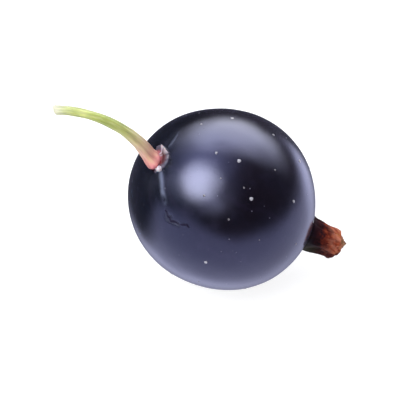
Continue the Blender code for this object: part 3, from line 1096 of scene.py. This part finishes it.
sepal_foot = (SEPAL_FOOT, SEPAL_FOOT_RADIUS, SEPAL_CRUMPLE)
flower_sepals = withered_leaves("flower_sepals", SEPALS, 3.0, 1.7, sepal_foot, SEPAL_THICK)
print("sepals:", len(SEPALS))

# %% [markdown]
# Inside the mouth are what is left of the petals, smaller and paler, and a few dry threads, each a thin
# tube along a curling line with a bead at its end.

# %% Make the heart of the flower
# The same five numbers for each petal as for the sepals
PETALS = (
    (56.0, 1.05 * MM, -12.0, -100.0, 0.34 * MM),
    (128.0, 1.17 * MM, -7.0, -125.0, 0.34 * MM),
    (200.0, 1.29 * MM, -12.0, -150.0, 0.34 * MM),
    (272.0, 1.05 * MM, -7.0, -100.0, 0.34 * MM),
    (344.0, 1.17 * MM, -12.0, -125.0, 0.34 * MM),
)
PETAL_FOOT = (1.35 * MM, 0.55 * MM, 0.09 * MM)
PETAL_THICK = 0.05 * MM
THREADS = 6
THREAD_FOOT = 1.1 * MM
THREAD_RADIUS = 0.035 * MM
THREAD_BEAD = 0.055 * MM


def thread(name, chance):
    """One dry stamen: a tapering curled tube with a bead near its tip."""
    share = np.linspace(0.0, 1.0, 26)
    start_turn, start_radius = chance.uniform(0.0, math.tau), chance.uniform(0.05, 0.35) * MM
    reach = chance.uniform(1.1, 1.6) * MM
    swing = chance.uniform(-2.2, 2.2)
    height = THREAD_FOOT + reach * np.sin(share * 1.7) * 0.95
    line = flower(height, start_turn + swing * share**2, start_radius + 0.30 * MM * share)
    heading = unit(np.gradient(line, axis=0))
    share, around = rows_by_turns(share, 8)
    radius = THREAD_RADIUS * (1.0 - 0.3 * share) + THREAD_BEAD * hump(share, 0.97, 0.045)
    place = triple(0.55 + 0.4 * share, around, 0.9)
    tips = (line[0], line[-1] + heading[-1] * 0.02 * MM)
    return sheet(name, line[:, None] + circles(heading, around) * radius[..., None], place, tips=tips)


withered_petals = withered_leaves("withered_petals", PETALS, 20.0, 1.3, PETAL_FOOT, PETAL_THICK)
thread_chance = np.random.default_rng(8)
dry_threads = join("dry_threads", [thread(f"thread_{i}", thread_chance) for i in range(THREADS)])
print("petals and threads:", len(PETALS), THREADS)

# %% [markdown]
# Dead flower tissue has a dull, papery finish. It is almost black where it meets the skin, partly as
# painted shade, red brown along the tube, and rusty to buff at the sepals, with paler red-orange crests
# that are a painted highlight, dark valleys that are painted shade, and in patches one colour runs into
# the next. The side that faces up is painted lighter, as light from above, and the under side is painted
# darker, as shade, olive near the foot and dark red higher up. Height, turn and fold depth were kept on
# the mesh as each point's place, so the colours can follow the real folds.

# %% The flower's finish
UPWARD_TURN = math.atan2(FLOWER_SIDES[1] @ UP, FLOWER_SIDES[0] @ UP)
# Share of the flower's height, and the colour there. The near-black low end is partly painted shade where
# the tube meets the skin.
DRIED_COLOURS = (
    (0.00, (0.006, 0.006, 0.006)),
    (0.16, (0.010, 0.004, 0.007)),
    (0.34, (0.038, 0.008, 0.009)),
    (0.52, (0.130, 0.020, 0.010)),
    (0.70, (0.310, 0.058, 0.024)),
    (0.86, (0.400, 0.115, 0.045)),
    (1.00, (0.360, 0.210, 0.100)),
)


def dried_finish(name, shift):
    """Withered tissue. A positive shift makes it paler and rustier."""
    paint = Finish(name, IOR=1.4, Specular_IOR_Level=0.05)
    height, turn, fold = paint.place()
    lengthwise = paint.round_vector(turn, 0.9 * MM, height * 0.9 * MM)
    fibre = paint.grain(0.09 * MM, detail=4.0, seed=2.0, spot=lengthwise)
    patch = paint.grain(0.34 * MM, detail=5.0, seed=6.0)
    # The side that faces up is painted lighter and the under side darker: painted light and shade from
    # above.
    top_lit = (turn - UPWARD_TURN + math.pi / 2).sine()
    level = height + shift + (patch - 0.5) * 1.30 * height.between(0.03, 0.24) + top_lit * 0.18
    # Paler red-orange crests: a painted highlight, stronger on the top side.
    crest = (fold + (fibre - 0.5) * 0.6).between(0.55, 0.95) * height.between(0.15, 0.6)
    # Dark valleys of the folds: painted shade.
    valley_shade = 1.0 - (fold + (fibre - 0.5) * 0.4).between(0.15, 0.5)
    bleached = height.between(0.80, 0.98) * fibre.between(0.42, 0.62)
    # The darker under side: painted shade, olive near the foot and dark red higher up.
    shaded_underside = height.between(0.10, 0.45).blend((0.030, 0.029, 0.019), (0.030, 0.009, 0.011))
    colour = coats(
        paint.ramp(DRIED_COLOURS, level),
        (crest * (0.35 + top_lit * 0.30), (0.50, 0.190, 0.120)),
        (bleached * 0.7, (0.48, 0.31, 0.21)),
        (valley_shade * 0.85, (0.012, 0.004, 0.004)),
        (top_lit.between(0.40, -0.6) * 0.85, shaded_underside),
    )
    papery = paint.bump(fibre + 0.4 * fold, 0.030 * MM, strength=0.9)
    return paint.feed(Base_Color=colour, Roughness=0.55 + 0.3 * fibre, Normal=papery)


papery_brown = dried_finish("papery_brown", 0.0)
papery_rust = dried_finish("papery_rust", 0.18)
for piece, finish in (
    (flower_tube, papery_brown),
    (flower_sepals, papery_brown),
    (withered_petals, papery_rust),
    (dry_threads, papery_rust),
):
    dress(piece, finish, "dried_flower")

# %% [markdown]
# The table is a plain white sheet on a light box. Its own glow keeps it white right up to the fruit and
# leaves only a faint shadow. It is hidden from reflections, because what the skin mirrors is built next.

# %% The white table
WHITE = (1.0, 1.0, 1.0, 1.0)
bpy.ops.mesh.primitive_plane_add(size=6.0)
table = bpy.context.object
table.name = "white_table"
table_paint = Finish("white_sheet", Roughness=0.9, Emission_Strength=0.87, Emission_Color=WHITE)
paper_grain = table_paint.grain(0.02, detail=2.0).between(0.3, 0.7)
paper = paper_grain.blend((0.29, 0.29, 0.295), (0.31, 0.31, 0.315))
table.data.materials.append(table_paint.feed(Base_Color=paper))
table.visible_glossy = False
print("table, m across:", round(table.dimensions.x, 2))

# %% [markdown]
# A glossy dark fruit is painted by what it mirrors, so the studio round it is built as one big bowl of
# light, over and under, whose glow is given for each direction. It has a soft round lamp high on the left,
# which gives the one highlight, with a cool halo and three weak glows beside it, a broad panel behind,
# which gives the crescent over the top, a cool haze between them, and the pale table below. The table is
# brighter in one strip on the right and dimmer in four places behind and beside the fruit, which has dark
# edges there, and the faint glow of the room is weaker in two. Every part fades softly, because a hard edge
# would draw a hard line on the skin.

# %% How bright the studio is in each direction
# A direction is a turn and a rise in degrees, and then comes how far a glow or a dark place reaches
KEY = (-136.0, 57.0)
FILLS = ((1.0, -97.0, 40.0, 12.0), (0.35, -172.0, 32.0, 13.0), (0.16, 170.0, 5.0, 10.0))
HAZE = (165.0, 72.0, 28.0)
STRIP = (44.0, -17.0, 13.0)
STRIP_SHARE = 0.75
# Share that is left in the middle of each dark place, its direction, and where it starts and ends
DARK_PLACES = (
    (0.0, 100.0, -8.0, 34.0, 50.0),
    (0.0, 150.0, -12.0, 29.0, 48.0),
    (0.25, 90.0, -45.0, 15.0, 42.0),
)
DIM_TABLE = (20.0, -60.0, 28.0)
UNLIT = ((0.7, 100.0, -5.0, 28.0), (0.45, -58.0, 20.0, 18.0))
KEY_GLOW = 15.6 * np.array([1.05, 1.06, 1.0])
FILL_GLOW = 3.6 * np.array([0.90, 0.92, 1.0])
PANEL_GLOW = 8.0 * np.array([0.90, 0.92, 1.0])
HAZE_GLOW = 3.8 * np.array([0.66, 0.70, 1.0])
HALO_GLOW = 1.6 * np.array([0.66, 0.70, 1.0])
TABLE_GLOW = 2.10 * np.array([0.69, 0.71, 1.0])
DARK_GLOW = 0.18 * np.array([0.70, 0.70, 1.0])


def patch(toward, turn, rise, reach):
    """A soft round patch about one direction."""
    return hump(apart(toward, turn, rise), 0.0, reach)


def panel_share(turn, rise):
    """How much of the panel shows. Its lower edge climbs towards the left, its upper towards the right."""
    leftward = smooth(turn, 78.0, 125.0)
    low_edge = 3.0 - 4.5 * smooth(turn, 62.0, 80.0) + 13.5 * leftward
    high_edge = 40.0 + 13.5 * smooth(turn, 30.0, 70.0)
    tall = span(rise, low_edge, 30.0 + 22.0 * leftward, high_edge, 81.0)
    return span(turn, 10.0, 56.0, 100.0, 152.0) * tall


def table_share(turn, rise, toward):
    """How much of the pale table shows. Its horizon stands higher under the key lamp."""
    horizon = -7.5 + 20.0 * patch(way(turn, 0.0), KEY[0], 0.0, 42.0)
    share = 1.0 - smooth(rise, horizon - 13.0, horizon + 9.0)
    for left, dark_turn, dark_rise, start, end in DARK_PLACES:
        share = share * (left + (1.0 - left) * smooth(apart(toward, dark_turn, dark_rise), start, end))
    share = share * (1.0 - 0.30 * patch(toward, *DIM_TABLE)) * (1.0 + 0.12 * hump(rise, -90.0, 25.0))
    return share + STRIP_SHARE * patch(toward, *STRIP)


def studio_glow(turn, rise):
    """Red, green and blue of the light that comes from each direction, given in degrees."""
    toward = way(turn, rise)
    from_key = apart(toward, *KEY)
    parts = (
        (1.0 - smooth(from_key, 7.0, 32.0), KEY_GLOW),
        (hump(from_key, 0.0, 27.0), HALO_GLOW),
        (sum(share * patch(toward, *place) for share, *place in FILLS), FILL_GLOW),
        (panel_share(turn, rise), PANEL_GLOW),
        (patch(toward, *HAZE), HAZE_GLOW),
        (table_share(turn, rise, toward), TABLE_GLOW),
        (1.0 - sum(share * patch(toward, *place) for share, *place in UNLIT), DARK_GLOW),
    )
    return sum(share[..., None] * glow for share, glow in parts)


print("glow towards the key lamp:", studio_glow(np.array(KEY[0]), np.array(KEY[1])).round(1))

# %% [markdown]
# The bowl is made twice. One copy is only mirrored and never lights anything, and it goes on below the
# table. The other, the upper half, only lights, and at under half the strength, because a waxy black skin
# and a thin green stalk want different exposures.

# %% Build the bowl of light
BOWL_RADIUS = 2.5
MIRROR_STRENGTH = 1.0
SOFT_STRENGTH = 0.42


def bowl(name, lowest_rise, strength):
    """Part of a big ball of light round the fruit, from a rise up to straight overhead."""
    turns, rises = np.linspace(-180.0, 180.0, 181), np.linspace(lowest_rise, 90.0, 91)
    turn, rise = np.meshgrid(turns, rises, indexing="ij")
    points = CENTRE + way(turn, rise) * BOWL_RADIUS
    piece = sheet(name, points, studio_glow(turn, rise), around=False)
    material = bpy.data.materials.new(name)
    material.use_nodes = True
    material.node_tree.nodes.clear()
    shade = Shade(material.node_tree)
    glow = shade.node("Attribute", {"attribute_name": "place"}, output="Color")
    light = shade.node("Emission", inputs={"Color": glow, "Strength": strength})
    shade.node("OutputMaterial", inputs={"Surface": light})
    piece.data.materials.append(material)
    piece.visible_camera = False
    piece.visible_shadow = False
    return piece


mirror_bowl = bowl("mirror_bowl", -90.0, MIRROR_STRENGTH)
mirror_bowl.visible_diffuse = False
mirror_bowl.data.materials[0].cycles.emission_sampling = "NONE"
soft_bowl = bowl("soft_bowl", 0.0, SOFT_STRENGTH)
soft_bowl.visible_glossy = False
print("bowls, m across:", 2 * BOWL_RADIUS)

# %% [markdown]
# Beyond the lamps the room is dark, or every part of the skin would mirror a grey haze. Seen directly,
# the background is white like the table, so that a low view still shows a plain pale ground.

# %% The room
room = bpy.data.worlds.new("studio")
bpy.context.scene.world = room
room.use_nodes = True
room.node_tree.nodes.clear()
room_shade = Shade(room.node_tree)
seen = room_shade.node("LightPath", output="Is Camera Ray")
dim = room_shade.node("Background", inputs={"Color": (0.75, 0.80, 1.0, 1.0), "Strength": 0.02})
white = room_shade.node("Background", inputs={"Color": WHITE, "Strength": 1.0})
sky = room_shade.node("MixShader", inputs={0: seen, 1: dim, 2: white})
room_shade.node("OutputWorld", inputs={"Surface": sky})
print("the room is", room.name)

# %% [markdown]
# The camera looks down at 45 degrees from the front, 190 mm away, as in the photograph, but framed
# closer on this one berry. Aiming it a little to the left of the fruit's centre leaves room for the stalk.

# %% The camera
VIEW_RISE = 45.0
VIEW_DISTANCE = 190.0 * MM
VIEW_WIDTH = 26.2 * MM
AIM = CENTRE + np.array([-1.46, 0.0, -0.1]) * MM
camera_data = bpy.data.cameras.new("camera")
camera_data.angle = 2.0 * math.atan(VIEW_WIDTH / 2 / VIEW_DISTANCE)
camera_data.clip_start = 0.01
camera = bpy.data.objects.new("camera", camera_data)
camera.location = Vector(CENTRE + way(-90.0, VIEW_RISE) * VIEW_DISTANCE)
camera.rotation_euler = (Vector(AIM) - camera.location).to_track_quat("-Z", "Y").to_euler()
bpy.context.scene.collection.objects.link(camera)
bpy.context.scene.camera = camera
bpy.context.scene.view_settings.view_transform = "Standard"
print(f"the view is {math.degrees(camera_data.angle):.2f} degrees wide")

# %% [markdown]
